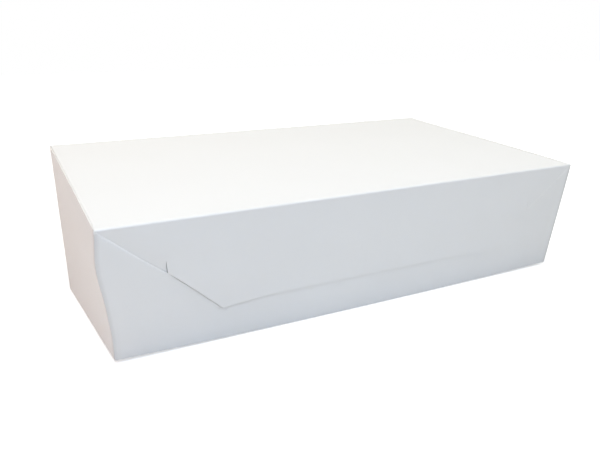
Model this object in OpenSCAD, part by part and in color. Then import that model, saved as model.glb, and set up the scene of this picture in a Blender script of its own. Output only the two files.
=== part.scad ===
// Cake box folded from one sheet of white board: a tray with leaning front and back walls,
// a lid on the back wall that drops between the end walls, and a front flap on the lid.
// X runs along the box, Y from front to back and Z up. The origin lies under the middle of
// the rim, on the surface that the box stands on.

/* [Box] */
// Length of the box at its rim, outside
box_l = 300; // [220:5:400]
// Depth of the box at its rim from front to back, outside
box_w = 169; // [130:1:240]
// Height of the rim at the front
front_h = 74; // [68:1:120]
// Height of the rim at the back
back_h = 91; // [68:1:130]
// How far the front wall leans in, from the rim to the base
front_lean = 18.5; // [0:0.5:30]
// How far the back wall leans in, from the rim to the base
back_lean = 28; // [0:0.5:35]
// How far each end wall leans in, from the rim to the base
end_lean = 1; // [0:0.1:10]

/* [Board] */
// Thickness of the board
board = 0.5; // [0.3:0.05:0.8]
// Outer radius of the folds round the base
fold_r = 1; // [0.8:0.1:1.5]

/* [Glue tabs] */
// Width of the tabs that join the walls at the corners, inside the front and back walls
tab_w = 22; // [12:1:30]
// Height that a tab loses at each end, from its fold to its free edge
tab_taper = 6; // [2:1:12]

/* [Lid] */
// Gap between each side of the lid and the end wall beside it
side_gap = 0.4; // [0.2:0.1:1]
// Gap between the underside of the lid and the edges that it folds from
fold_gap = 0.2; // [0.1:0.05:0.4]
// Outer radius of the folds along the front and back edges of the lid
lid_fold_r = 0.3; // [0.1:0.05:0.35]
// Depth of the tucks that hang from the sides of the lid, inside the end walls
tuck_depth = 36; // [20:1:50]
// Space between a tuck and the front or back wall, where the tuck leaves the lid
tuck_setback = 5; // [3:0.5:12]
// Length that a tuck loses at each end, from the lid to its lower edge
tuck_taper = 8; // [2:1:20]
// Radius of the lower corners of a tuck
tuck_corner_r = 6; // [1:0.5:12]

/* [Front lock] */
// Depth of the front flap, down the slope of the front wall
flap_depth = 57; // [46:1:62]
// Depth at which the flap comes out from between the ears and laps over the wall
ear_depth = 29.5; // [22:0.5:36]
// Angle of the ears and of the cut ends of the flap, from the vertical
lock_angle = 46; // [35:1:50]
// Gap between an ear and the cut end of the flap
lock_gap = 0.4; // [0.2:0.1:1]
// Gap between the flap and the wall that it laps over
lap_gap = 0.2; // [0.1:0.05:0.4]
// Length of the step where the flap comes out over the wall
step_run = 3; // [2:0.5:6]
// Gap between that step and the upper edge of the wall
step_gap = 0.5; // [0.3:0.1:1]
// Length of the slit that hooks the flap on each ear
slit_l = 6; // [3:0.5:10]
// Width of that slit
slit_w = 0.5; // [0.3:0.1:1]
// How far the lower edge of the flap rises from each of its tips
tip_rise = 1.7; // [0:0.1:4]
// Length over which it rises
tip_run = 25; // [10:1:60]

/* [Hidden] */

BOARD_WHITE = [0.96, 0.96, 0.95];
// Flats in the arc of one fold
FOLD_STEPS = 4;
// How far a cutting solid reaches past what it cuts
OVERCUT = 3;

rim_front = -box_w / 2;
rim_back = box_w / 2;
lid_slope = (back_h - front_h) / box_w;
front_slope = front_lean / front_h;
back_slope = back_lean / back_h;
end_slope = end_lean / back_h;
lid_angle = atan(lid_slope);
front_angle = atan(front_slope);
back_angle = atan(back_slope);
end_angle = atan(end_slope);
// Below the lid's top: where the front flap and the back wall begin under the lid
seat = board + fold_gap;
// Distance that the lapping part of the flap stands out from the wall
lap_out = board + lap_gap;
// Depth of the front wall's upper edge between the ears
wall_cut = ear_depth + step_gap;
// Where the cuts in the front and back walls stop, beside the folds of the end walls
cut_inset = board + side_gap / 2;

// Faces of the walls at height z, each moved inwards by inset
function front_y(z, inset) = rim_front + front_slope * (front_h - z) + inset / cos(front_angle);
function back_y(z, inset) = rim_back - back_slope * (back_h - z) - inset / cos(back_angle);
function end_x(z, inset) = box_l / 2 - end_slope * (back_h - z) - inset / cos(end_angle);
// Plane of the lid at y, moved down by sink
function lid_z(y, sink) = front_h + lid_slope * (y - rim_front) - sink / cos(lid_angle);

// Corners, in the side view, where a wall moved by inset meets the lid's plane moved by sink
function front_top(inset, sink) =
    let(lean = sink / cos(lid_angle) - lid_slope * inset / cos(front_angle))
    let(z = front_h - lean / (1 + lid_slope * front_slope))
    [front_y(z, inset), z];
function back_top(inset, sink) =
    let(lean = sink / cos(lid_angle) + lid_slope * inset / cos(back_angle))
    let(z = back_h - lean / (1 - lid_slope * back_slope))
    [back_y(z, inset), z];

// Height of a point at a depth measured down the slope of the front wall
function wall_z(depth) = front_h - depth * cos(front_angle);
// That point in the side view, on the face of the front wall moved by inset
function wall_point(depth, inset) = [front_y(wall_z(depth), inset), wall_z(depth)];
// Distance of an ear's cut edge from the end of the box at that depth
function ear_run(depth) = depth * tan(lock_angle);

function unit(v) = v / norm(v);
// Arc of radius r that rounds the corner at p between its neighbours a and b
function fold_arc(a, p, b, r) =
    let(u = unit(a - p), v = unit(b - p), half = acos(u * v) / 2)
    let(centre = p + unit(u + v) * r / sin(half))
    let(from = p + u * r / tan(half) - centre, to = p + v * r / tan(half) - centre)
    let(start = atan2(from[1], from[0]), turn = atan2(to[1], to[0]) - start)
    let(sweep = turn > 180 ? turn - 360 : turn < -180 ? turn + 360 : turn)
    r <= 0.01 ? [p] : [
        for (i = [0:FOLD_STEPS])
            let(angle = start + sweep * i / FOLD_STEPS)
            centre + r * [cos(angle), sin(angle)]
    ];

// Outline between the front and back walls, rounded at the base
function side_outline(inset, floor_z, sink, r) =
    let(front_base = [front_y(floor_z, inset), floor_z], back_base = [back_y(floor_z, inset), floor_z])
    let(front_rim = front_top(inset, sink), back_rim = back_top(inset, sink))
    concat(
        fold_arc(front_rim, front_base, back_base, r),
        fold_arc(front_base, back_base, back_rim, r),
        [back_rim, front_rim]
    );

// Outline between the end walls, rounded at the base
function end_outline(inset, floor_z, r) =
    let(top_z = back_h + OVERCUT)
    let(left = [-end_x(floor_z, inset), floor_z], right = [end_x(floor_z, inset), floor_z])
    let(left_top = [-end_x(top_z, inset), top_z], right_top = [end_x(top_z, inset), top_z])
    concat(fold_arc(left_top, left, right, r), fold_arc(left, right, right_top, r), [right_top, left_top]);

// A shape drawn in the side view (y, z), carried along the box
module along_x(length) {
    rotate([90, 0, 90])
        linear_extrude(length, center = true)
            children();
}

// A shape drawn in the front view (x, z), carried from front to back
module along_y(length) {
    rotate([90, 0, 0])
        linear_extrude(length, center = true)
            children();
}

// Everything between the two end walls, each moved inwards by inset
module between_ends(inset, floor_z = -OVERCUT, r = 0) {
    along_y(box_w + 2 * OVERCUT)
        polygon(end_outline(inset, floor_z, r));
}

// Everything between the four walls, above floor_z and below the lid's plane moved by sink
module between_walls(inset, floor_z, sink, r) {
    intersection() {
        along_x(box_l + 2 * OVERCUT)
            polygon(side_outline(inset, floor_z, sink, r));
        between_ends(inset, floor_z, r);
    }
}

// The four tabs folded in from the end walls and glued inside the front and back walls, below the lid
module glue_tabs() {
    fold_x = end_x(0, board);
    low = 2 * fold_r;
    intersection() {
        difference() {
            between_walls(board / 2, board / 2, seat + fold_gap, 0);
            along_x(box_l + 2 * OVERCUT)
                polygon(side_outline(2 * board, -OVERCUT, -OVERCUT, 0));
        }
        along_y(box_w + 2 * OVERCUT)
            for (side = [-1, 1])
                polygon([
                    [side * (fold_x + end_lean + OVERCUT), low],
                    [side * (fold_x - tab_w), low + tab_taper],
                    [side * (fold_x - tab_w), back_h - tab_taper],
                    [side * (fold_x + end_lean + OVERCUT), back_h + OVERCUT]
                ]);
    }
}

// Room for the lid and its folds, between the end walls
module lid_room() {
    front = rim_front - OVERCUT;
    back = rim_back + OVERCUT;
    intersection() {
        along_x(box_l)
            polygon([
                [front, lid_z(front, seat)],
                [back, lid_z(back, seat)],
                [back, back_h + OVERCUT],
                [front, back_h + OVERCUT]
            ]);
        between_ends(cut_inset);
    }
}

// The part of the front wall that is cut away between the two ears
module ear_window() {
    high_x = box_l / 2 - ear_run(-OVERCUT);
    low_x = box_l / 2 - ear_run(wall_cut);
    intersection() {
        translate([0, rim_front, 0])
            along_y(box_w)
                polygon([
                    [-high_x, wall_z(-OVERCUT)],
                    [high_x, wall_z(-OVERCUT)],
                    [low_x, wall_z(wall_cut)],
                    [-low_x, wall_z(wall_cut)]
                ]);
        between_ends(cut_inset);
    }
}

module tray() {
    color(BOARD_WHITE)
        difference() {
            union() {
                difference() {
                    between_walls(0, 0, 0, fold_r);
                    between_walls(board, board, -OVERCUT, fold_r - board);
                }
                glue_tabs();
            }
            lid_room();
            ear_window();
        }
}

// Outline of a side tuck in the side view, from inside the lid down to its rounded lower corners
function tuck_outline(room) =
    let(front_z = front_h - tuck_depth, back_z = back_h - tuck_depth)
    let(front_low = [front_y(front_z, room + tuck_taper), front_z])
    let(back_low = [back_y(back_z, room + tuck_taper), back_z])
    let(front_high = front_top(room, board / 2), back_high = back_top(room, board / 2))
    concat(
        [front_high, back_high],
        fold_arc(back_high, back_low, front_low, tuck_corner_r),
        fold_arc(back_low, front_low, front_high, tuck_corner_r)
    );

// The two tucks, one board thick, beside the end walls
module side_tucks() {
    intersection() {
        along_x(box_l)
            polygon(tuck_outline(2 * board + tuck_setback));
        difference() {
            between_ends(board + side_gap);
            between_ends(2 * board + side_gap);
        }
    }
}

// Side view of the lid panel, rounded where it folds from the back wall and into the flap
function lid_section() = concat(
    fold_arc(front_top(0, board), front_top(0, 0), back_top(0, 0), lid_fold_r),
    fold_arc(front_top(0, 0), back_top(0, 0), back_top(0, board), lid_fold_r),
    [back_top(0, board), front_top(0, board)]
);

module lid() {
    color(BOARD_WHITE)
        union() {
            intersection() {
                along_x(box_l)
                    polygon(lid_section());
                between_ends(board + side_gap);
            }
            side_tucks();
        }
}

// Side view of the flap: between the ears, then a step out, then over the wall
function flap_section() = [
    front_top(0, seat),
    wall_point(ear_depth - step_run, 0),
    wall_point(ear_depth, -lap_out),
    wall_point(flap_depth, -lap_out),
    wall_point(flap_depth, -lap_gap),
    wall_point(ear_depth, -lap_gap),
    wall_point(ear_depth - step_run, board),
    front_top(board, seat)
];

// Front view of the flap: cut ends beside the ears, and a lower edge that rises from its tips
function flap_outline() =
    let(high_x = box_l / 2 - ear_run(-OVERCUT) - lock_gap)
    let(tip_x = box_l / 2 - ear_run(flap_depth) - lock_gap)
    [
        [-high_x, wall_z(-OVERCUT)],
        [high_x, wall_z(-OVERCUT)],
        [tip_x, wall_z(flap_depth)],
        [tip_x - tip_run, wall_z(flap_depth - tip_rise)],
        [-tip_x + tip_run, wall_z(flap_depth - tip_rise)],
        [-tip_x, wall_z(flap_depth)]
    ];

// The slit that starts on the cut end where the flap leaves the ear, and runs up into the flap
module hook_slit(side) {
    slit_x = box_l / 2 - ear_run(ear_depth) - lock_gap;
    high = wall_z(ear_depth - slit_l);
    low = wall_z(ear_depth + 2 * slit_w);
    translate([side * slit_x, rim_front, (high + low) / 2])
        cube([slit_w, box_w, high - low], center = true);
}

module front_flap() {
    color(BOARD_WHITE)
        difference() {
            intersection() {
                along_x(box_l)
                    polygon(flap_section());
                translate([0, rim_front, 0])
                    along_y(box_w)
                        polygon(flap_outline());
                between_ends(board + side_gap);
            }
            for (side = [-1, 1])
                hook_slit(side);
        }
}

tray();
lid();
front_flap();
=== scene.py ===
"""The looks of a folded white cake box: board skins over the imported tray, lid and front flap."""

import logging
import math
from dataclasses import dataclass, field
from enum import Enum
from typing import Callable, Sequence

import bmesh
import bpy
from mathutils import Matrix, Vector
from mathutils.geometry import delaunay_2d_cdt
from mathutils.kdtree import KDTree


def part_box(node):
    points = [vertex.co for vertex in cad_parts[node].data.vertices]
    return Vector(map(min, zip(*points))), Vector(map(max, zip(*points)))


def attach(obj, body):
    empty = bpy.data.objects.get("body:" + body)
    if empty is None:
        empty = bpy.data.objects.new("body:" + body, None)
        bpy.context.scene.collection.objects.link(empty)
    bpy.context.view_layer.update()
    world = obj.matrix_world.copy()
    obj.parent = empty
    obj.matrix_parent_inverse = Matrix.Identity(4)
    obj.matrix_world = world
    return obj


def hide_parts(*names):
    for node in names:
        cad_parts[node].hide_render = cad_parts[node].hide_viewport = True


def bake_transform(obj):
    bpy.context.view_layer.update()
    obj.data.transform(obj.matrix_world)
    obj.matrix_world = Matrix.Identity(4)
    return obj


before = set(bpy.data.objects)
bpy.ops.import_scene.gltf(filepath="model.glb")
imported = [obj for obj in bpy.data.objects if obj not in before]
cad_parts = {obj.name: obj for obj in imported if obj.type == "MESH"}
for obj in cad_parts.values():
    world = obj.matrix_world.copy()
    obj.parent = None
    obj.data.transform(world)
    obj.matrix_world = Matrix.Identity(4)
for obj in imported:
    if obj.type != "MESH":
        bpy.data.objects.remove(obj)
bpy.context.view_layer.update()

log = logging.getLogger("cake_box")

MM = 0.001
# Vertex attributes for painted light: painted shade beside the upright corners, and a painted highlight
# along the ears' pressed-in cut edges.
PAINTED_CORNER_SHADE_MARK = "crease"
EDGE_HIGHLIGHT_MARK = "painted_edge_highlight"

Point2 = tuple[float, float]
Place = Callable[[float, float], Vector]
Share = Callable[[float, float], float]
Point3 = tuple[float, float, float]
Colour = tuple[float, float, float]


class Side(Enum):
    """The two ends of the box, by the sign of X."""

    LEFT = -1
    RIGHT = 1


def lerp(a: float, b: float, t: float) -> float:
    """The value a share t of the way from a to b."""
    return a + (b - a) * t


def smooth(t: float) -> float:
    """A step from 0 to 1 with level ends."""
    t = min(1.0, max(0.0, t))
    return t * t * (3 - 2 * t)


def hill(distance: float, reach: float) -> float:
    """A bump of height 1 at distance 0 that is gone at reach."""
    return smooth(1 - abs(distance) / reach)


def steps(low: float, high: float, count: int) -> list[float]:
    """count + 1 even values from low to high."""
    return [lerp(low, high, i / count) for i in range(count + 1)]


def distance(p: Vector, start: Vector, end: Vector) -> float:
    """Distance of a point from a straight run between two others.

    Args:
        p: the point.
        start: one end of the run.
        end: its other end.

    Returns:
        The distance.
    """
    run = end - start
    share = min(1, max(0, (p - start).dot(run) / run.length_squared))
    return (p - start.lerp(end, share)).length


def add_object(name: str, data: bpy.types.ID) -> bpy.types.Object:
    """Adds an object to the scene.

    Args:
        name: its name.
        data: its mesh, lamp or camera.

    Returns:
        The object.
    """
    made = bpy.data.objects.new(name, data)
    bpy.context.scene.collection.objects.link(made)
    return made


def plain_mesh(holder: bpy.types.Object) -> bpy.types.Mesh:
    """Turns what an object's modifiers make into a plain mesh, and removes the object.

    Args:
        holder: the object.

    Returns:
        The mesh.
    """
    bpy.context.view_layer.update()
    mesh = bpy.data.meshes.new_from_object(holder.evaluated_get(bpy.context.evaluated_depsgraph_get()))
    bpy.data.objects.remove(holder)
    return mesh


class Sketch:
    """A node tree that is being drawn."""

    def __init__(self, tree: bpy.types.NodeTree) -> None:
        """Takes the tree to draw in."""
        self.tree = tree

    def node(self, kind: str, inputs: dict[str | int, object] | None = None,
             **options: str) -> bpy.types.Node:
        """Adds a node.

        Args:
            kind: type of the node.
            inputs: a value, or a socket to link, for each input by its name or number.
            options: options of the node.

        Returns:
            The node.
        """
        node = self.tree.nodes.new(kind)
        for name, option in options.items():
            setattr(node, name, option)
        self.feed(node, inputs or {})
        return node

    def feed(self, node: bpy.types.Node, inputs: dict[str | int, object]) -> None:
        """Sets or links inputs of a node.

        Args:
            node: the node.
            inputs: a value or a socket for each input by its name or number.
        """
        for key, value in inputs.items():
            if isinstance(value, bpy.types.NodeSocket):
                self.tree.links.new(value, node.inputs[key])
            else:
                node.inputs[key].default_value = value

    def math(self, operation: str, *values: bpy.types.NodeSocket | float) -> bpy.types.NodeSocket:
        """Adds a math node and gives its result.

        Args:
            operation: name of the operation.
            values: a socket or a number for each input.

        Returns:
            The node's result.
        """
        return self.node("ShaderNodeMath", dict(enumerate(values)), operation=operation).outputs[0]

    def seen(self) -> bpy.types.NodeSocket:
        """Gives 1 for what the camera sees, straight, mirrored or through glass, and 0 for light.

        Returns:
            The share.
        """
        path = self.node("ShaderNodeLightPath").outputs
        straight = self.math("MAXIMUM", path["Is Camera Ray"], path["Is Glossy Ray"])
        return self.math("MAXIMUM", straight, path["Is Transmission Ray"])


@dataclass(frozen=True)
class Round:
    """The round of a fold between two straight runs of board, in the side view."""

    centre: Vector
    radius: float
    start: float
    sweep: float

    @staticmethod
    def between(before: Point2, corner: Point2, after: Point2, radius: float) -> "Round":
        """The round that touches both runs.

        Args:
            before: a point on the run that comes in.
            corner: where the two runs would meet without the round.
            after: a point on the run that goes out.
            radius: outer radius of the fold.

        Returns:
            The round, which starts on the run that comes in.
        """
        p = Vector(corner)
        u = (Vector(before) - p).normalized()
        v = (Vector(after) - p).normalized()
        half = u.angle(v) / 2
        centre = p + (u + v).normalized() * radius / math.sin(half)
        start = p + u * radius / math.tan(half) - centre
        end = p + v * radius / math.tan(half) - centre
        return Round(centre, radius, math.atan2(start.y, start.x), -start.angle_signed(end))

    def points(self, count: int) -> list[Point2]:
        """count + 1 points from the run that comes in to the run that goes out."""
        angles = steps(self.start, self.start + self.sweep, count)
        return [(self.centre.x + self.radius * math.cos(a), self.centre.y + self.radius * math.sin(a))
                for a in angles]


@dataclass(frozen=True)
class BoxForm:
    """The planes that the box is folded to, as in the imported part, in metres."""

    length: float
    depth: float
    back_h: float
    front_h: float = 74 * MM
    front_lean: float = 18.5 * MM
    back_lean: float = 28 * MM
    end_lean: float = 1 * MM
    board: float = 0.5 * MM

    @staticmethod
    def from_frame() -> "BoxForm":
        """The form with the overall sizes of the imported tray."""
        low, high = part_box("tray")
        return BoxForm(length=high.x - low.x, depth=high.y - low.y, back_h=high.z)

    @property
    def front_angle(self) -> float:
        """Lean of the front wall from upright."""
        return math.atan(self.front_lean / self.front_h)

    @property
    def back_angle(self) -> float:
        """Lean of the back wall from upright."""
        return math.atan(self.back_lean / self.back_h)

    @property
    def lid_angle(self) -> float:
        """Slope of the lid."""
        return math.atan((self.back_h - self.front_h) / self.depth)

    def front_y(self, z: float, inset: float = 0.0) -> float:
        """Face of the front wall at height z, moved inwards by inset."""
        slope = self.front_lean / self.front_h
        return -self.depth / 2 + slope * (self.front_h - z) + inset / math.cos(self.front_angle)

    def back_y(self, z: float, inset: float = 0.0) -> float:
        """Face of the back wall at height z, moved inwards by inset."""
        slope = self.back_lean / self.back_h
        return self.depth / 2 - slope * (self.back_h - z) - inset / math.cos(self.back_angle)

    def end_x(self, z: float, inset: float = 0.0) -> float:
        """Face of an end wall at height z, moved inwards by inset."""
        return self.length / 2 - self.end_lean / self.back_h * (self.back_h - z) - inset

    def lid_z(self, y: float) -> float:
        """Height of the lid's top at y."""
        return self.front_h + math.tan(self.lid_angle) * (y + self.depth / 2)

    def slope_z(self, down: float) -> float:
        """Height of a point at a depth measured down the slope of the front wall."""
        return self.front_h - down * math.cos(self.front_angle)

    def slope_point(self, x: float, down: float, out: float = 0.0) -> Vector:
        """A point of the front wall's outer face, moved outwards by out."""
        z = self.slope_z(down)
        return Vector((x, self.front_y(z, -out), z))

    def corner_share(self, p: Vector, reach: float) -> float:
        """How near a point is to an upright corner of the box: 1 on it, 0 from reach on.

        Args:
            p: the point.
            reach: width of the band beside the corner.

        Returns:
            The share.
        """
        aside = abs(self.end_x(p.z) - abs(p.x))
        behind = min(abs(p.y - self.front_y(p.z)), abs(self.back_y(p.z) - p.y))
        return hill(max(aside, behind), reach)


@dataclass(frozen=True)
class Lock:
    """The ears of the front wall and the cut ends of the flap, in metres."""

    angle: float = math.radians(46)
    ear_depth: float = 28.6 * MM
    flap_depth: float = 56 * MM
    notch_shift: float = 2.6 * MM
    step_gap: float = 0.5 * MM
    slit_length: float = 6 * MM
    slit_width: float = 0.1 * MM
    end_gap: float = 0.05 * MM
    tip_rise: float = 2.5 * MM
    tip_run: float = 25 * MM

    crush_depth: float = 0.45 * MM
    crush_reach: float = 0.9 * MM
    right_crush: float = 0.2
    groove_depth: float = 0.42 * MM
    groove_reach: float = 0.45 * MM
    groove_offset: float = 0.15 * MM
    groove_start: float = 4 * MM
    tip_share: float = 0.4
    mark_spacing: float = 1.0 * MM

    GROOVE_LINES = (-1, -0.5, 0, 0.5, 1)
    CRUSH_LINES = (1 / 3, 2 / 3, 1)

    def run(self, down: float) -> float:
        """Distance of an ear's cut edge, and of the flap's below it, from the end of the box at a depth.

        Args:
            down: the depth down the slope.

        Returns:
            The distance.
        """
        above = down / self.ear_depth
        below = (self.flap_depth - down) / (self.flap_depth - self.ear_depth)
        return down * math.tan(self.angle) + self.notch_shift * min(above, below)

    def edge(self, shift: float) -> list[Vector]:
        """The left end of the flap below the notch, as run from the end of the box and depth.

        Args:
            shift: how far outside the flap's edge the line lies.

        Returns:
            The notch, the tip and the point where the lower edge has risen.
        """
        aside = Vector((-math.cos(self.angle), math.sin(self.angle))) * shift
        below = Vector((0, shift))
        notch = Vector((self.run(self.ear_depth), self.ear_depth))
        tip = Vector((self.run(self.flap_depth), self.flap_depth))
        risen = tip + Vector((self.tip_run, -self.tip_rise))
        return [notch + aside, tip + aside * self.tip_share + below, risen + below]

    def marks(self) -> list[Vector]:
        """Extra points of the front wall where it needs to be fine, as run and depth.

        Returns:
            The points.
        """
        points = []
        for share in self.GROOVE_LINES:
            line = self.edge(self.groove_offset + share * self.groove_reach)
            for start, end in zip(line, line[1:]):
                count = math.ceil((end - start).length / self.mark_spacing)
                points += [start.lerp(end, i / count) for i in range(count)]
        across = Vector((-math.cos(self.angle), math.sin(self.angle)))
        count = math.ceil(self.ear_depth / self.mark_spacing)
        for inset in (share * self.crush_reach for share in self.CRUSH_LINES):
            for i in range(count + 1):
                down = lerp(2 * inset, self.ear_depth, i / count)
                points.append(Vector((self.run(down), down)) + across * inset)
        return points

    def groove(self, run: float, down: float) -> float:
        """Depth of the line that the flap's lower left edge presses into the wall.

        Args:
            run: distance from the left end of the box.
            down: depth down the slope.

        Returns:
            The depth.
        """
        p = Vector((run, down))
        line = self.edge(self.groove_offset)
        away = min(distance(p, start, end) for start, end in zip(line, line[1:]))
        along = (run - line[0].x) / (line[-1].x - line[0].x)
        if not 0 < along < 1:
            return 0.0
        strength = smooth((run - line[0].x) / self.groove_start) * (1 - along ** 2)
        return self.groove_depth * strength * (1 - smooth(away / self.groove_reach))

    def crush(self, run: float, down: float) -> float:
        """How far the cut edge of an ear is pressed in, which fades out at the foot of the ear.

        Args:
            run: distance from the end of the box.
            down: depth down the slope.

        Returns:
            The distance.
        """
        inset = (self.run(down) - run) * math.cos(self.angle)
        above_foot = (self.ear_depth + self.step_gap - down) / self.crush_reach
        return self.crush_depth * (1 - smooth(inset / self.crush_reach)) * smooth(above_foot)


@dataclass(frozen=True)
class Settling:
    """How the folded box has settled: shifts of its corners and soft bows of its walls, in metres."""

    form: BoxForm
    rim_shifts: dict[tuple[int, int], Point2] = field(default_factory=lambda: {
        (-1, 1): (2.1 * MM, 0.0),
        (-1, -1): (-3.1 * MM, 0.0),
        (1, -1): (-2.2 * MM, 0.0),
        (1, 1): (-0.6 * MM, 0.0),
    })
    base_shifts: dict[tuple[int, int], Point2] = field(default_factory=lambda: {
        (-1, -1): (2.2 * MM, 0.4 * MM),
        (1, -1): (1.9 * MM, -1.0 * MM),
        (-1, 1): (-0.3 * MM, -2.8 * MM),
        (1, 1): (0.0, -1.5 * MM),
    })
    front_lift: float = 1.5 * MM
    corner_bulge: float = 1.75 * MM
    bulge_height: float = 0.72
    bulge_reach: float = 0.32
    corner_pinch: float = 0.8 * MM
    pinch_height: float = 0.18
    pinch_reach: float = 0.28
    wall_bow: float = 0.6 * MM
    lid_sag: float = 0.5 * MM

    def place(self, p: Vector) -> Vector:
        """Moves a point of the regular form to where the settled board has it.

        Args:
            p: a point of the regular form.

        Returns:
            The same point on the settled box.
        """
        form = self.form
        across = p.x / form.end_x(p.z)
        front, back = form.front_y(p.z), form.back_y(p.z)
        along = (p.y - front) / (back - front) * 2 - 1
        up = p.z / form.lid_z(p.y)
        moved = p.copy()
        for shifts, share in ((self.rim_shifts, up), (self.base_shifts, 1 - up)):
            for (sx, sy), (dx, dy) in shifts.items():
                weight = share * (1 + sx * across) / 2 * (1 + sy * along) / 2
                moved.x += weight * dx
                moved.y += weight * dy
        return moved + self.bow(across, along, up)

    def bow(self, across: float, along: float, up: float) -> Vector:
        """The soft bows of the walls, the lid and the base.

        Args:
            across: place from the left end, -1, to the right end, 1.
            along: place from the front, -1, to the back, 1.
            up: place from the base, 0, to the rim, 1.

        Returns:
            The shift of the board at that place.
        """
        left, front = (1 - across) / 2, (1 - along) / 2
        middle_x, middle_y = 1 - across ** 2, 1 - along ** 2
        waist = 4 * up * (1 - up)
        swell = self.corner_bulge * hill(up - self.bulge_height, self.bulge_reach)
        pinch = self.corner_pinch * hill(up - self.pinch_height, self.pinch_reach)
        return Vector((
            left * front * (pinch - swell) - across * middle_y * waist * self.wall_bow,
            -along * middle_x * waist * self.wall_bow,
            self.front_lift * front * across ** 2 * (1 - up) - self.lid_sag * middle_x * middle_y * up,
        ))


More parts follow.
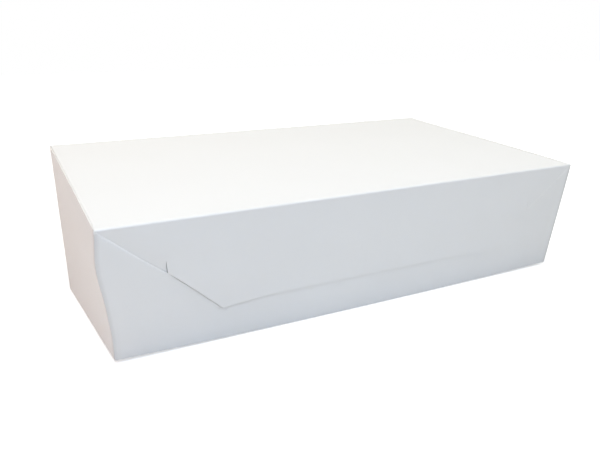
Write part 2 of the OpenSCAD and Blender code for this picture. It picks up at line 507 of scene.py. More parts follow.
class Sheet:
    """One sheet of board, drawn on its outer face and then given its thickness."""

    WELD = 0.002 * MM
    SHOULDER = 0.06 * MM
    CUT_ANGLE = math.radians(65)
    SHARP_ANGLE = math.radians(35)
    CLEARANCE = 0.4
    SAME_POINT = 1e-7

    def __init__(self, name: str, settling: Settling, corner_shade_reach: float = 0.0) -> None:
        """Starts an empty sheet.

        Args:
            name: name of the piece.
            settling: what moves each point to its settled place.
            corner_shade_reach: width of the painted shade on each side of an upright corner.
        """
        self.name = name
        self.settling = settling
        self.corner_shade_reach = corner_shade_reach
        self.bm = bmesh.new()
        # Painted shade: how near each point is to an upright corner of the tray, which darkens its colour
        # there.
        self.crease = self.bm.verts.layers.float.new(PAINTED_CORNER_SHADE_MARK)
        self.edge_highlight = self.bm.verts.layers.float.new(EDGE_HIGHLIGHT_MARK)

    def point(self, p: Vector, edge_highlight: float = 0.0) -> bmesh.types.BMVert:
        """Adds a point of the regular form, settled and marked.

        Args:
            p: the point.
            edge_highlight: share of painted highlight there, beside a cut edge.

        Returns:
            The new vertex.
        """
        vert = self.bm.verts.new(self.settling.place(p))
        # Painted highlight: lighter colour beside an ear's pressed-in cut edge.
        vert[self.edge_highlight] = edge_highlight
        if self.corner_shade_reach:
            vert[self.crease] = self.settling.form.corner_share(p, self.corner_shade_reach)
        return vert

    def grid(self, us: Sequence[float], vs: Sequence[float], place: Place) -> None:
        """Adds a panel of quads.

        Args:
            us: values of the first coordinate.
            vs: values of the second coordinate.
            place: gives the regular form's point for a pair of values.
        """
        rows = [[self.point(place(u, v)) for u in us] for v in vs]
        for lower, upper in zip(rows, rows[1:]):
            for a, b, c, d in zip(lower, lower[1:], upper[1:], upper):
                self.bm.faces.new((a, b, c, d))

    def cut(self, outline: Sequence[Point2], spacing: float, place: Place,
            marks: Sequence[Vector] = (), edge_highlight: Share = lambda x, y: 0.0) -> None:
        """Adds a panel with any outline, filled with small triangles.

        Args:
            outline: corners of the panel in its own two coordinates, in order.
            spacing: distance between its inner points.
            place: gives the regular form's point for a pair of values.
            marks: further inner points, where the panel is finer.
            edge_highlight: gives the share of painted highlight at a pair of values.
        """
        rim: list[Vector] = []
        for a, b in zip(outline, list(outline[1:]) + [outline[0]]):
            start, end = Vector(a), Vector(b)
            count = max(1, math.ceil((end - start).length / spacing))
            rim += [start.lerp(end, i / count) for i in range(count)]
        low = Vector((min(p.x for p in rim), min(p.y for p in rim)))
        high = Vector((max(p.x for p in rim), max(p.y for p in rim)))
        fixed = rim + list(marks)
        tree = KDTree(len(fixed))
        for i, p in enumerate(fixed):
            tree.insert((p.x, p.y, 0), i)
        tree.balance()
        inner = [
            Vector((x, y))
            for x in steps(low.x, high.x, math.ceil((high.x - low.x) / spacing))[1:-1]
            for y in steps(low.y, high.y, math.ceil((high.y - low.y) / spacing))[1:-1]
            if tree.find((x, y, 0))[2] > spacing * self.CLEARANCE
        ]
        loop = list(range(len(rim)))
        points, _, faces, *_ = delaunay_2d_cdt(fixed + inner, [], [loop], 1, self.SAME_POINT)
        verts = [self.point(place(p.x, p.y), edge_highlight(p.x, p.y)) for p in points]
        for face in faces:
            self.bm.faces.new([verts[i] for i in face])
        bmesh.ops.delete(self.bm, geom=[vert for vert in verts if not vert.link_faces], context="VERTS")

    def take(self, mesh: bpy.types.Mesh) -> None:
        """Adds the points and faces of a finished mesh, settled.

        Args:
            mesh: the mesh.
        """
        verts = [self.point(vert.co) for vert in mesh.vertices]
        for face in mesh.polygons:
            self.bm.faces.new([verts[i] for i in face.vertices])

    def build(self, board: float, outward: Vector,
              finishes: Sequence[bpy.types.Material]) -> bpy.types.Object:
        """Welds the panels and gives the sheet its thickness.

        Args:
            board: thickness, which grows inwards from the drawn face.
            outward: a direction that the first face looks in.
            finishes: materials of the outer face, the inner face and the cut edges.

        Returns:
            The finished piece as a plain mesh.
        """
        bmesh.ops.remove_doubles(self.bm, verts=self.bm.verts, dist=self.WELD)
        bmesh.ops.recalc_face_normals(self.bm, faces=self.bm.faces)
        self.bm.faces.ensure_lookup_table()
        if self.bm.faces[0].normal.dot(outward) < 0:
            bmesh.ops.reverse_faces(self.bm, faces=self.bm.faces)
        mesh = bpy.data.meshes.new(self.name)
        self.bm.to_mesh(mesh)
        self.bm.free()
        for finish in finishes:
            mesh.materials.append(finish)
        rough = add_object(self.name + "_face", mesh)
        wall = rough.modifiers.new("board", "SOLIDIFY")
        wall.thickness = board
        wall.offset = -1
        wall.use_even_offset = True
        wall.material_offset = 1
        wall.material_offset_rim = 2
        shoulder = rough.modifiers.new("shoulder", "BEVEL")
        shoulder.width = self.SHOULDER
        shoulder.segments = 1
        shoulder.limit_method = "ANGLE"
        shoulder.angle_limit = self.CUT_ANGLE
        solid = plain_mesh(rough)
        solid.name = self.name
        solid.shade_smooth()
        solid.set_sharp_from_angle(angle=self.SHARP_ANGLE)
        piece = add_object(self.name, solid)
        log.info("%s: %d faces", self.name, len(solid.polygons))
        return piece


@dataclass(frozen=True)
class BoardFinish:
    """A face of the board: its colour, its sheen and its fibres, with painted shade at the upright corners
    and a painted highlight along the ears' pressed-in cut edges.
    """

    name: str
    colour: Colour
    shade: Colour
    # Darker colour painted beside the upright corners, where shade falls.
    painted_corner_shade: Colour
    roughness: float
    fibre: float
    # Lighter colour painted as a highlight along the ears' pressed-in cut edges.
    edge_highlight: Colour = (0.97, 0.97, 0.96)
    cloud_scale: float = 22
    cloud_detail: float = 4
    grain_scale: float = 1400
    grain_detail: float = 3
    grain_height: float = 0.02 * MM

    def material(self) -> bpy.types.Material:
        """Builds the procedural material: clouds of two tones, painted shade beside the upright corners, a
        painted highlight along the ears' pressed-in cut edges and a fine grain.

        Returns:
            The material.
        """
        mat = bpy.data.materials.new(self.name)
        mat.use_nodes = True
        sketch = Sketch(mat.node_tree)
        place = sketch.node("ShaderNodeTexCoord").outputs["Object"]
        cloud = sketch.node("ShaderNodeTexNoise", {
            "Scale": self.cloud_scale, "Detail": self.cloud_detail, "Vector": place})
        tone = sketch.node("ShaderNodeMix", {
            "A": (*self.colour, 1), "B": (*self.shade, 1), "Factor": cloud.outputs["Fac"]},
            data_type="RGBA")
        # Mixes in the painted corner shade and the painted highlight along the ears' cut edges.
        for mark, colour in ((PAINTED_CORNER_SHADE_MARK, self.painted_corner_shade), (EDGE_HIGHLIGHT_MARK, self.edge_highlight)):
            share = sketch.node("ShaderNodeAttribute", attribute_name=mark)
            tone = sketch.node("ShaderNodeMix", {
                "B": (*colour, 1), "Factor": share.outputs["Fac"], "A": tone.outputs["Result"]},
                data_type="RGBA")
        grain = sketch.node("ShaderNodeTexNoise", {
            "Scale": self.grain_scale, "Detail": self.grain_detail, "Vector": place})
        bump = sketch.node("ShaderNodeBump", {
            "Strength": self.fibre, "Distance": self.grain_height, "Height": grain.outputs["Fac"]})
        sketch.feed(mat.node_tree.nodes["Principled BSDF"], {
            "Base Color": tone.outputs["Result"],
            "Normal": bump.outputs["Normal"],
            "Roughness": self.roughness,
        })
        return mat


# Each face has a darker tone for painted shade at the upright corners, and a lighter tone for a painted
# highlight along the ears' cut edges.
OUTER_FACE = BoardFinish(
    "board_outer", colour=(0.86, 0.86, 0.85), shade=(0.84, 0.84, 0.83), painted_corner_shade=(0.72, 0.71, 0.70),
    roughness=0.5, fibre=0.4)
INNER_FACE = BoardFinish(
    "board_inner", colour=(0.80, 0.79, 0.76), shade=(0.76, 0.75, 0.72), painted_corner_shade=(0.70, 0.69, 0.66),
    roughness=0.8, fibre=0.8)
CUT_EDGE = BoardFinish(
    "board_edge", colour=(0.90, 0.90, 0.88), shade=(0.84, 0.83, 0.81), painted_corner_shade=(0.78, 0.77, 0.75),
    roughness=0.9, fibre=1.0)


@dataclass
class Tray:
    """Base, four walls, two ears and four glue tabs, folded from one sheet."""

    form: BoxForm
    lock: Lock
    settling: Settling
    fold_r: float = 1.0 * MM
    corner_r: float = 0.7 * MM
    edge_inset: float = 0.05 * MM
    glue: float = 0.05 * MM
    tab_w: float = 22 * MM
    tab_taper: float = 6 * MM
    tab_low: float = 2 * MM
    rim_drop: float = 1.0 * MM
    # Width of the painted shade beside the upright corners.
    corner_shade_reach: float = 2.6 * MM
    spacing: float = 2.6 * MM
    columns: int = 120
    wall_rows: int = 26
    base_rows: int = 44
    tab_columns: int = 8
    flats: int = 5

    def base_fold(self, front: bool) -> list[Point2]:
        """Arc, in the side view, of the fold between the base and the front or back wall.

        Args:
            front: True for the front wall.

        Returns:
            Its points, from the base to the wall.
        """
        form = self.form
        wall_y = form.front_y if front else form.back_y
        top = (wall_y(form.front_h), form.front_h)
        bend = Round.between((0, 0), (wall_y(0), 0), top, self.fold_r)
        return bend.points(self.flats)

    def end_fold(self) -> list[Point2]:
        """Arc, in the front view, of the fold between the base and an end wall.

        Returns:
            Its points, from the base to the wall.
        """
        form = self.form
        top = (form.end_x(form.front_h), form.front_h)
        bend = Round.between((0, 0), (form.end_x(0), 0), top, self.fold_r)
        return bend.points(self.flats)

    @property
    def shares(self) -> list[float]:
        """Places of the columns between the end walls, from -1 to 1."""
        return steps(-1, 1, self.columns)

    def fold_limit(self, z: float, fold_top: float) -> float:
        """Half length of the front and back walls at height z, which narrow into the base's fold."""
        return lerp(self.end_fold()[0][0], self.form.end_x(z) - self.edge_inset, smooth(z / fold_top))

    def cross_fold(self, sheet: Sheet, front: bool) -> None:
        """Draws the fold between the base and the front or back wall.

        Args:
            sheet: the sheet to draw on.
            front: True for the front wall.
        """
        arc = self.base_fold(front)
        for (y0, z0), (y1, z1) in zip(arc, arc[1:]):
            sheet.grid(self.shares, [0, 1], lambda c, v: Vector((
                c * self.fold_limit(lerp(z0, z1, v), arc[-1][1]), lerp(y0, y1, v), lerp(z0, z1, v))))

    def back_wall(self, sheet: Sheet) -> None:
        """Draws the back wall, up to the fold that carries the lid.

        Args:
            sheet: the sheet to draw on.
        """
        form = self.form
        low = self.base_fold(False)[-1][1]
        sheet.grid(self.shares, steps(low, form.back_h - self.rim_drop, self.wall_rows),
                   lambda c, z: Vector((c * self.fold_limit(z, low), form.back_y(z), z)))

    def front_wall(self, sheet: Sheet) -> None:
        """Draws the front wall with its two ears.

        Args:
            sheet: the sheet to draw on.
        """
        form, lock = self.form, self.lock
        low = self.base_fold(True)[-1][1]
        lean = form.end_lean / form.back_h
        slope = lock.run(lock.ear_depth) / lock.ear_depth
        tip_down = lean * (form.back_h - form.front_h) / (slope - lean * math.cos(form.front_angle))
        tip_z = form.slope_z(tip_down)
        cut_down = lock.ear_depth + lock.step_gap
        ear_tip = (form.end_x(tip_z) - self.edge_inset, tip_z)
        ear_foot = (form.length / 2 - lock.run(cut_down), form.slope_z(cut_down))
        outline = [(c * self.fold_limit(low, low), low) for c in self.shares]
        outline += [ear_tip, ear_foot, (-ear_foot[0], ear_foot[1]), (-ear_tip[0], ear_tip[1])]
        marks = [Vector((run - form.length / 2, form.slope_z(down))) for run, down in lock.marks()]

        def crush(x: float, z: float) -> float:
            """How far the cut edge of an ear is pressed in at a point of the wall."""
            run, down = form.length / 2 - abs(x), (form.front_h - z) / math.cos(form.front_angle)
            return lock.crush(run, down) * (1 if x < 0 else lock.right_crush)

        def wall(x: float, z: float) -> Vector:
            """A point of the wall's outer face, with the ear's edge and the groove pressed in.

            Args:
                x: place along the box.
                z: height.

            Returns:
                The point.
            """
            run, down = form.length / 2 - abs(x), (form.front_h - z) / math.cos(form.front_angle)
            pressed = crush(x, z) + (lock.groove(run, down) if x < 0 else 0.0)
            return Vector((x, form.front_y(z, pressed), z))

        def edge_highlight(x: float, z: float) -> float:
            """Share of painted highlight where the ear's edge is pressed in: a lighter board colour that
            stands in for the light this edge catches.
            """
            return min(1.0, 2 * crush(x, z) / lock.crush_depth)

        sheet.cut(outline, self.spacing, wall, marks, edge_highlight)

    def base(self, sheet: Sheet) -> None:
        """Draws the base between its four folds.

        Args:
            sheet: the sheet to draw on.
        """
        limit = self.end_fold()[0][0]
        front, back = self.base_fold(True)[0][0], self.base_fold(False)[0][0]
        sheet.grid(self.shares, steps(front, back, self.base_rows), lambda c, y: Vector((c * limit, y, 0)))

    def end_wall(self, sheet: Sheet, side: Side) -> None:
        """Draws an end wall with its base fold and its two glue tabs.

        Args:
            sheet: the sheet to draw on.
            side: which end.
        """
        form, lock, sign = self.form, self.lock, side.value
        arc = self.end_fold()
        base_front, base_back = self.base_fold(True)[0][0], self.base_fold(False)[0][0]
        inset = form.board + self.glue

        def span(z: float) -> Point2:
            """Front and back limit of the end wall at height z.

            Args:
                z: the height.

            Returns:
                The two places.
            """
            share = smooth(z / arc[-1][1])
            front = form.front_y(z, inset) + self.corner_r
            back = form.back_y(z, inset) - self.corner_r
            return lerp(base_front, front, share), lerp(base_back, back, share)

        across = steps(0, 1, self.base_rows)
        for (x0, z0), (x1, z1) in zip(arc, arc[1:]):
            sheet.grid(across, [0, 1], lambda t, v: Vector((
                sign * lerp(x0, x1, v), lerp(*span(lerp(z0, z1, v)), t), lerp(z0, z1, v))))

        def wall(t: float, v: float) -> Vector:
            """A point of the end wall, by its shares of the depth and of the height.

            Args:
                t: share from the front to the back.
                v: share from the fold to the rim.

            Returns:
                The point.
            """
            y = lerp(*span(form.front_h), t)
            z = lerp(arc[-1][1], form.lid_z(y), v)
            return Vector((sign * form.end_x(z), lerp(*span(z), t), z))

        up = steps(0, 1, self.wall_rows)
        sheet.grid(across, up, wall)
        for front in (True, False):
            self.corner(sheet, side, front, wall(0 if front else 1, 0).z, wall(0 if front else 1, 1).z, up)

    def corner(self, sheet: Sheet, side: Side, front: bool, low: float, high: float,
               up: Sequence[float]) -> None:
        """Draws the upright fold at one corner and the tab that follows it.

        Args:
            sheet: the sheet to draw on.
            side: which end.
            front: True for the corner at the front wall.
            low: height where the fold starts on the end wall.
            high: height where it ends.
            up: shares of the height at which the end wall has its rows.
        """
        form, lock, sign = self.form, self.lock, side.value
        wall_y = form.front_y if front else form.back_y
        inward = 1 if front else -1
        inset = form.board + self.glue
        arc_length = self.corner_r * math.radians(90)

        def reach(run: float) -> Point2:
            """Distances from the corner, inwards along the box and inwards from the wall.

            Args:
                run: length of board from the end wall.

            Returns:
                The two distances.
            """
            if run < arc_length:
                turn = run / self.corner_r
                return self.corner_r * (1 - math.cos(turn)), self.corner_r * (1 - math.sin(turn))
            return self.corner_r + run - arc_length, 0.0

        def tab(run: float, v: float) -> Vector:
            """A point of the fold or the tab, by its run from the end wall and its share of the height.

            Args:
                run: length of board from the end wall.
                v: share of the height.

            Returns:
                The point.
            """
            along, off = reach(run)
            share = along / self.tab_w
            bottom = low + share * (self.tab_low + self.tab_taper)
            if front:
                limit = form.slope_z((along + self.rim_drop) * lock.ear_depth / lock.run(lock.ear_depth))
            else:
                limit = form.back_h - self.rim_drop * 2
            top = lerp(high, min(high - share * self.tab_taper, limit), smooth(along / self.corner_r))
            z = lerp(bottom, top, v)
            return Vector((sign * (form.end_x(z) - along), wall_y(z, inset) + inward * off, z))

        runs = steps(0, arc_length, self.flats)
        runs += steps(arc_length, self.tab_w - self.corner_r, self.tab_columns)[1:]
        sheet.grid(runs, up, tab)

    def build(self, finishes: Sequence[bpy.types.Material]) -> bpy.types.Object:
        """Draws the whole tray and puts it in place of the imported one.

        Args:
            finishes: materials of the board.

        Returns:
            The piece.
        """
        sheet = Sheet("tray_board", self.settling, self.corner_shade_reach)
        self.base(sheet)
        for front in (True, False):
            self.cross_fold(sheet, front)
        self.front_wall(sheet)
        self.back_wall(sheet)
        for side in Side:
            self.end_wall(sheet, side)
        piece = sheet.build(self.form.board, Vector((0, 0, -1)), finishes)
        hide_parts("tray")
        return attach(piece, "tray")


@dataclass
class Lid:
    """The lid panel with its two side tucks."""

    form: BoxForm
    settling: Settling
    side_gap: float = 0.1 * MM
    fold_r: float = 0.6 * MM
    crease: float = 1.2 * MM
    tuck_depth: float = 36 * MM
    tuck_setback: float = 6 * MM
    tuck_taper: float = 8 * MM
    columns: int = 110
    rows: int = 60
    tuck_rows: int = 14
    end_rows: int = 3
    flats: int = 5

    def limit(self, z: float) -> float:
        """Half length of the lid, to its outer faces, at height z."""
        return self.form.end_x(z, self.form.board + self.side_gap)

    def panel(self, sheet: Sheet, ys: Sequence[float], folded: bool) -> None:
        """Draws a run of the lid from side to side.

        Args:
            sheet: the sheet to draw on.
            ys: places from front to back.
            folded: True where the tucks hang from the sides.
        """
        form = self.form
        flat = 1 - self.fold_r / (form.length / 2)
        sheet.grid(steps(-flat, flat, self.columns), ys,
                   lambda c, y: Vector((c * self.limit(form.lid_z(y)), y, form.lid_z(y))))
        if folded:
            return
        for side in Side:
            sheet.grid([flat, 1], ys, lambda c, y: Vector((
                side.value * c * self.limit(form.lid_z(y)), y, form.lid_z(y))))

    def tuck(self, sheet: Sheet, side: Side, ys: Sequence[float]) -> None:
        """Draws one side tuck with the fold that it hangs from.

        Args:
            sheet: the sheet to draw on.
            side: which end.
            ys: places from front to back.
        """
        form = self.form
        flat = 1 - self.fold_r / (form.length / 2)
        span = ys[-1] - ys[0]

        def fold(turn: float, y: float) -> Vector:
            """A point of the fold, by its turn from the lid.

            Args:
                turn: angle turned down from the lid.
                y: place from front to back.

            Returns:
                The point.
            """
            z = form.lid_z(y)
            edge = self.limit(z)
            start = flat * edge
            return Vector((
                side.value * (start + (edge - start) * math.sin(turn)),
                y, z - (edge - start) * (1 - math.cos(turn))))

        def drop(down: float, y: float) -> Vector:
            """A point of the tuck, by its depth under the lid.

            Args:
                down: depth under the lid.
                y: place from front to back.

            Returns:
                The point.
            """
            share = (y - ys[0]) / span
            edge = self.limit(form.lid_z(y))
            start = edge * (1 - flat)
            below = (down - start) / (self.tuck_depth - start)
            draw = below * (self.tuck_taper + self.tuck_depth * math.tan(form.front_angle))
            moved = lerp(ys[0] + draw, ys[-1] - draw, share)
            z = form.lid_z(y) - down
            return Vector((side.value * self.limit(z + down * (1 - below)), moved, z))

        sheet.grid(steps(0, math.radians(90), self.flats), ys, fold)
        sheet.grid(steps(0, 1, self.tuck_rows), ys, lambda t, y: drop(
            lerp(self.limit(form.lid_z(y)) * (1 - flat), self.tuck_depth, t), y))

    def build(self, finishes: Sequence[bpy.types.Material]) -> bpy.types.Object:
        """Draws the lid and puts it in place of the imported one.

        Args:
            finishes: materials of the board.

        Returns:
            The piece.
        """
        form = self.form
        sheet = Sheet("lid_board", self.settling)
        front = -form.depth / 2 + self.crease
        back = form.depth / 2 - self.crease
        first = -form.depth / 2 + self.tuck_setback
        last = form.depth / 2 - self.tuck_setback
        ys = steps(first, last, self.rows)
        self.panel(sheet, ys, True)
        self.panel(sheet, steps(front, first, self.end_rows), False)
        self.panel(sheet, steps(last, back, self.end_rows), False)
        for side in Side:
            self.tuck(sheet, side, ys)
        piece = sheet.build(form.board, Vector((0, 0, 1)), finishes)
        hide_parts("lid")
        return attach(piece, "lid")


@dataclass
class FrontFlap:
    """The flap on the front of the lid, hooked between the two ears."""

    form: BoxForm
    lock: Lock
    settling: Settling
    crease: float = 1.2 * MM
    side_gap: float = 0.25 * MM
    lap_gap: float = 0.05 * MM
    tip_lift: float = 0.35 * MM
    tip_reach: float = 55 * MM
    ear_recess: float = 0.55 * MM
    hook_recess: float = 0.5 * MM
    recess_reach: float = 14 * MM
    hook_drop: float = 9 * MM
    spacing: float = 2.2 * MM

    def outline(self) -> list[Point2]:
        """Outline in x and in depth down the slope, with a slit at each end.

        Returns:
            Its corners.
        """
        form, lock = self.form, self.lock
        half = form.length / 2 - lock.end_gap

        def end_x(down: float) -> float:
            """Half length of the flap at a depth."""
            return min(half - lock.run(down), form.end_x(form.slope_z(down), form.board + self.side_gap))

        slit_x = end_x(lock.ear_depth)
        slit_top = lock.ear_depth - lock.slit_length
        inner_x = slit_x - lock.slit_width
        inner_down = lock.ear_depth + lock.slit_width / math.tan(lock.angle)
        tip = end_x(lock.flap_depth)
        right = [
            (end_x(self.crease), self.crease),
            (slit_x, lock.ear_depth),
            (slit_x, slit_top),
            (inner_x, slit_top),
            (inner_x, inner_down),
            (tip, lock.flap_depth),
            (tip - lock.tip_run, lock.flap_depth - lock.tip_rise),
        ]
        return right + [(-x, down) for x, down in reversed(right)]

    def out(self, x: float, down: float) -> float:
        """How far the flap's outer face stands out from the wall's outer face.

        Args:
            x: place along the box.
            down: depth down the slope.

        Returns:
            The distance, which is negative where the flap is pressed in behind the left ear.
        """
        lock = self.lock
        cut_x = lock.run(down) - self.form.length / 2
        near_ear = smooth(1 - (x - cut_x) / self.recess_reach)
        hooked = x < lock.run(lock.ear_depth) - self.form.length / 2 + lock.slit_width
        freed = 0.0 if hooked else smooth((down - lock.ear_depth + self.hook_drop) / self.hook_drop)
        near_tip = smooth(1 - (x + self.form.length / 2 - lock.run(lock.flap_depth)) / self.tip_reach)
        near_tip *= smooth((down - lock.ear_depth) / self.hook_drop)
        lap = self.form.board + self.lap_gap + self.tip_lift * near_tip
        rise = lap * smooth(down / lock.ear_depth)
        hook = smooth((down - lock.ear_depth + 2 * self.hook_drop) / (2 * self.hook_drop))
        recess = lerp(self.ear_recess, self.hook_recess, hook)
        return rise - (rise + recess) * near_ear * (1 - freed) * smooth(down / self.hook_drop)

    def build(self, finishes: Sequence[bpy.types.Material]) -> bpy.types.Object:
        """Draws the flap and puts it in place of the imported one.

        Args:
            finishes: materials of the board.

        Returns:
            The piece.
        """
        sheet = Sheet("front_flap_board", self.settling)
        sheet.cut(self.outline(), self.spacing,
                  lambda x, down: self.form.slope_point(x, down, self.out(x, down)))
        piece = sheet.build(self.form.board, Vector((0, -1, 0)), finishes)
        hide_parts("front_flap")
        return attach(piece, "front_flap")


class FoldTree:
    """A Geometry Nodes tree that sweeps the round of a fold along the box."""

    def __init__(self) -> None:
        """Builds the tree: a grid whose one side becomes the length and the other the round."""
        self.tree = bpy.data.node_groups.new("fold_strip", "GeometryNodeTree")
        self.tree.interface.new_socket("Geometry", in_out="OUTPUT", socket_type="NodeSocketGeometry")
        for name in ("Length", "Radius", "Start Angle", "Sweep"):
            self.tree.interface.new_socket(name, in_out="INPUT", socket_type="NodeSocketFloat")
        for name in ("Columns", "Flats"):
            self.tree.interface.new_socket(name, in_out="INPUT", socket_type="NodeSocketInt")
        self.tree.interface.new_socket("Centre", in_out="INPUT", socket_type="NodeSocketVector")
        self.tree.interface.new_socket("Board", in_out="INPUT", socket_type="NodeSocketMaterial")
        sketch = Sketch(self.tree)
        sizes = sketch.node("NodeGroupInput").outputs
        grid = sketch.node("GeometryNodeMeshGrid", {
            "Size X": sizes["Length"], "Size Y": 1.0,
            "Vertices X": sizes["Columns"], "Vertices Y": sizes["Flats"]})
        bent = sketch.node("GeometryNodeSetPosition", {
            "Geometry": grid.outputs["Mesh"], "Position": self.position(sketch, sizes)})
        solid = sketch.node("GeometryNodeRealizeInstances", {"Geometry": bent.outputs["Geometry"]})
        dressed = sketch.node("GeometryNodeSetMaterial", {
            "Geometry": solid.outputs["Geometry"], "Material": sizes["Board"]})
        sketch.node("NodeGroupOutput", {"Geometry": dressed.outputs["Geometry"]})

    @staticmethod
    def position(sketch: Sketch, sizes: bpy.types.NodeOutputs) -> bpy.types.NodeSocket:
        """Adds the nodes that turn the grid's second side round the centre of the fold.

        Args:
            sketch: the tree that is drawn.
            sizes: the tree's inputs.

        Returns:
            The new place of each point.
        """
        point = sketch.node("GeometryNodeInputPosition").outputs[0]
        flat = sketch.node("ShaderNodeSeparateXYZ", {0: point}).outputs
        share = sketch.math("ADD", flat["Y"], 0.5)
        angle = sketch.math("MULTIPLY_ADD", share, sizes["Sweep"], sizes["Start Angle"])
        arms = {axis: sketch.math("MULTIPLY", sketch.math(operation, angle), sizes["Radius"])
                for axis, operation in (("Y", "COSINE"), ("Z", "SINE"))}
        bent = sketch.node("ShaderNodeCombineXYZ", {"X": flat["X"], **arms}).outputs[0]
        moved = sketch.node("ShaderNodeVectorMath", {0: bent, 1: sizes["Centre"]}, operation="ADD")
        return moved.outputs[0]

    def strip(self, values: dict[str, object]) -> bpy.types.Mesh:
        """Runs the tree once.

        Args:
            values: a value for each named input.

        Returns:
            The strip as a plain mesh.
        """
        holder = add_object("strip", bpy.data.meshes.new("strip"))
        modifier = holder.modifiers.new("fold", "NODES")
        modifier.node_group = self.tree
        for socket in self.tree.interface.items_tree:
            if socket.in_out == "INPUT":
                modifier[socket.identifier] = values[socket.name]
        return plain_mesh(holder)


@dataclass
class Creases:
    """The two folds that move: the lid on the back wall, and the flap on the lid."""

    form: BoxForm
    settling: Settling
    reach: float = 1.2 * MM
    side_gap: float = 0.1 * MM
    columns: int = 100
    flats: int = 8

    def strip(self, name: str, tree: FoldTree, before: Point2, corner: Point2, after: Point2,
              finishes: Sequence[bpy.types.Material]) -> bpy.types.Object:
        """Draws one fold as a strip of board.

        Args:
            name: name of the piece.
            tree: the nodes that sweep it.
            before: a point of the side view on the board that comes in.
            corner: the corner of the fold in the side view.
            after: a point of the side view on the board that goes out.
            finishes: materials of the board.

        Returns:
            The strip.
        """
        form = self.form
        half = (Vector(before) - Vector(corner)).angle(Vector(after) - Vector(corner)) / 2
        bend = Round.between(before, corner, after, self.reach * math.tan(half))
        sheet = Sheet(name, self.settling)
        sheet.take(tree.strip({
            "Length": 2 * form.end_x(corner[1], form.board + self.side_gap),
            "Radius": bend.radius,
            "Start Angle": bend.start,
            "Sweep": bend.sweep,
            "Columns": self.columns + 1,
            "Flats": self.flats + 1,
            "Centre": (0.0, bend.centre.x, bend.centre.y),
            "Board": finishes[0],
        }))
        outward = Vector(corner) - bend.centre
        return sheet.build(form.board, Vector((0, outward.x, outward.y)), finishes)

    def build(self, finishes: Sequence[bpy.types.Material]) -> None:
        """Makes both strips in place on the box.

        Args:
            finishes: materials of the board.
        """
        form = self.form
        tree = FoldTree()
        back, front = (form.depth / 2, form.back_h), (-form.depth / 2, form.front_h)
        for name, first, second, before, corner, after in (
            ("lid_crease", "tray", "lid", (form.back_y(0), 0), back, front),
            ("flap_crease", "lid", "front_flap", back, front, (form.front_y(0), 0)),
        ):
            strip = self.strip(name, tree, before, corner, after, finishes)
            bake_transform(strip)


@dataclass(frozen=True)
class Lamp:
    """A square soft lamp, with its place and size in metres and its power in watts."""

    name: str
    place: Point3
    size: float
    power: float
    colour: Colour

    def hang(self, aim: Vector) -> None:
        """Hangs the lamp so that it looks at a point.

        Args:
            aim: the point.
        """
        data = bpy.data.lights.new(self.name, "AREA")
        data.size = self.size
        data.energy = self.power
        data.color = self.colour
        lamp = add_object(self.name, data)
        lamp.location = self.place
        lamp.rotation_euler = (Vector(self.place) - aim).to_track_quat("Z", "Y").to_euler()


LAMPS = (
    Lamp("overhead", (-0.2, -0.15, 1.3), 1.2, 13.8, (1, 0.975, 0.87)),
    Lamp("left_front", (-0.25, -0.5, 0.6), 0.5, 1.75, (0.55, 0.7, 1)),
    Lamp("left", (-0.9, 0.2, 0.4), 0.6, 0.85, (1, 0.25, 0.02)),
    Lamp("right", (1.0, -1.1, 1.7), 1.0, 8.2, (1, 1, 1)),
    Lamp("front", (-0.04, -0.42, 0.26), 0.25, 0.1, (0.6, 0.8, 1)),
)


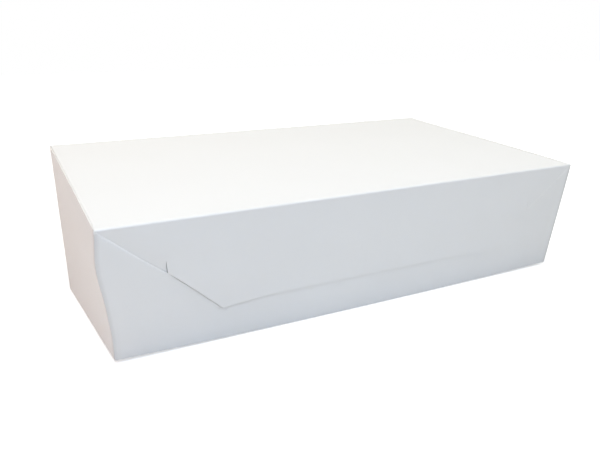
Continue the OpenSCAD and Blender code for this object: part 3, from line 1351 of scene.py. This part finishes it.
@dataclass(frozen=True)
class Studio:
    """Floor, lights and camera."""

    pixels: float = 600
    sensor: float = 36
    focal_px: float = 629.1
    azimuth: float = math.radians(-27.88)
    elevation: float = math.radians(15.22)
    roll: float = math.radians(-1.04)
    target: Point3 = (-7.2 * MM, 0, 35.9 * MM)
    distance: float = 419.5 * MM
    near_limit: float = 0.01
    lamp_aim: Point3 = (0, 0, 0.04)
    floor_size: float = 6
    floor_drop: float = 0.2 * MM
    floor_colour: Colour = (0.82, 0.82, 0.82)
    floor_glow: float = 0.55
    shadow_reach: float = 0.3
    sky_light: float = 0.1

    def camera(self) -> None:
        """Stands the camera where the photograph was taken from."""
        aim = Vector(self.target)
        away = Vector((
            math.sin(self.azimuth) * math.cos(self.elevation),
            -math.cos(self.azimuth) * math.cos(self.elevation),
            math.sin(self.elevation),
        ))
        right = Vector((0, 0, 1)).cross(away).normalized()
        up = away.cross(right)
        c, s = math.cos(self.roll), math.sin(self.roll)
        turned_right = right * c + up * s
        turned_up = up * c - right * s
        data = bpy.data.cameras.new("camera")
        data.sensor_width = self.sensor
        data.lens = self.focal_px * self.sensor / self.pixels
        data.clip_start = self.near_limit
        camera = add_object("camera", data)
        basis = Matrix((turned_right, turned_up, away)).transposed().to_4x4()
        camera.matrix_world = Matrix.Translation(aim + away * self.distance) @ basis
        bpy.context.scene.camera = camera

    def floor(self) -> None:
        """Lays a wide white floor that keeps the shadow of the box and shows white beyond it."""
        bm = bmesh.new()
        bmesh.ops.create_grid(bm, x_segments=1, y_segments=1, size=self.floor_size)
        mesh = bpy.data.meshes.new("floor")
        bm.to_mesh(mesh)
        bm.free()
        mat = bpy.data.materials.new("floor_paint")
        mat.use_nodes = True
        sketch = Sketch(mat.node_tree)
        place = sketch.node("ShaderNodeTexCoord").outputs["Object"]
        away = sketch.node("ShaderNodeVectorMath", {0: place}, operation="LENGTH")
        glow = sketch.node("ShaderNodeMapRange", {
            "From Min": self.shadow_reach, "From Max": self.shadow_reach * 2,
            "To Min": self.floor_glow, "To Max": 1.0,
            "Value": away.outputs["Value"]}, interpolation_type="SMOOTHSTEP")
        sketch.feed(mat.node_tree.nodes["Principled BSDF"], {
            "Base Color": (*self.floor_colour, 1),
            "Roughness": 1,
            "Emission Color": (1, 1, 1, 1),
            "Emission Strength": sketch.math("MULTIPLY", sketch.seen(), glow.outputs["Result"]),
        })
        mesh.materials.append(mat)
        plane = add_object("floor", mesh)
        plane.location.z = -self.floor_drop

    def world(self) -> None:
        """Sets an even pale sky that shows white."""
        world = bpy.data.worlds.new("studio")
        world.use_nodes = True
        sketch = Sketch(world.node_tree)
        level = sketch.node("ShaderNodeMapRange", {
            "To Min": self.sky_light, "To Max": 1.0, "Value": sketch.seen()})
        sketch.feed(world.node_tree.nodes["Background"], {
            "Color": (1, 1, 1, 1), "Strength": level.outputs["Result"]})
        bpy.context.scene.world = world

    def build(self) -> None:
        """Sets up the whole studio."""
        bpy.context.scene.view_settings.view_transform = "Standard"
        self.camera()
        self.floor()
        self.world()
        for lamp in LAMPS:
            lamp.hang(Vector(self.lamp_aim))


def main() -> None:
    """Builds the studio and the board pieces, and reports them."""
    logging.basicConfig(level=logging.INFO)
    Studio().build()
    form = BoxForm.from_frame()
    lock = Lock()
    settling = Settling(form)
    finishes = [finish.material() for finish in (OUTER_FACE, INNER_FACE, CUT_EDGE)]
    Tray(form, lock, settling).build(finishes)
    Lid(form, settling).build(finishes)
    FrontFlap(form, lock, settling).build(finishes)
    Creases(form, settling).build(finishes)


if __name__ == "__main__":
    main()
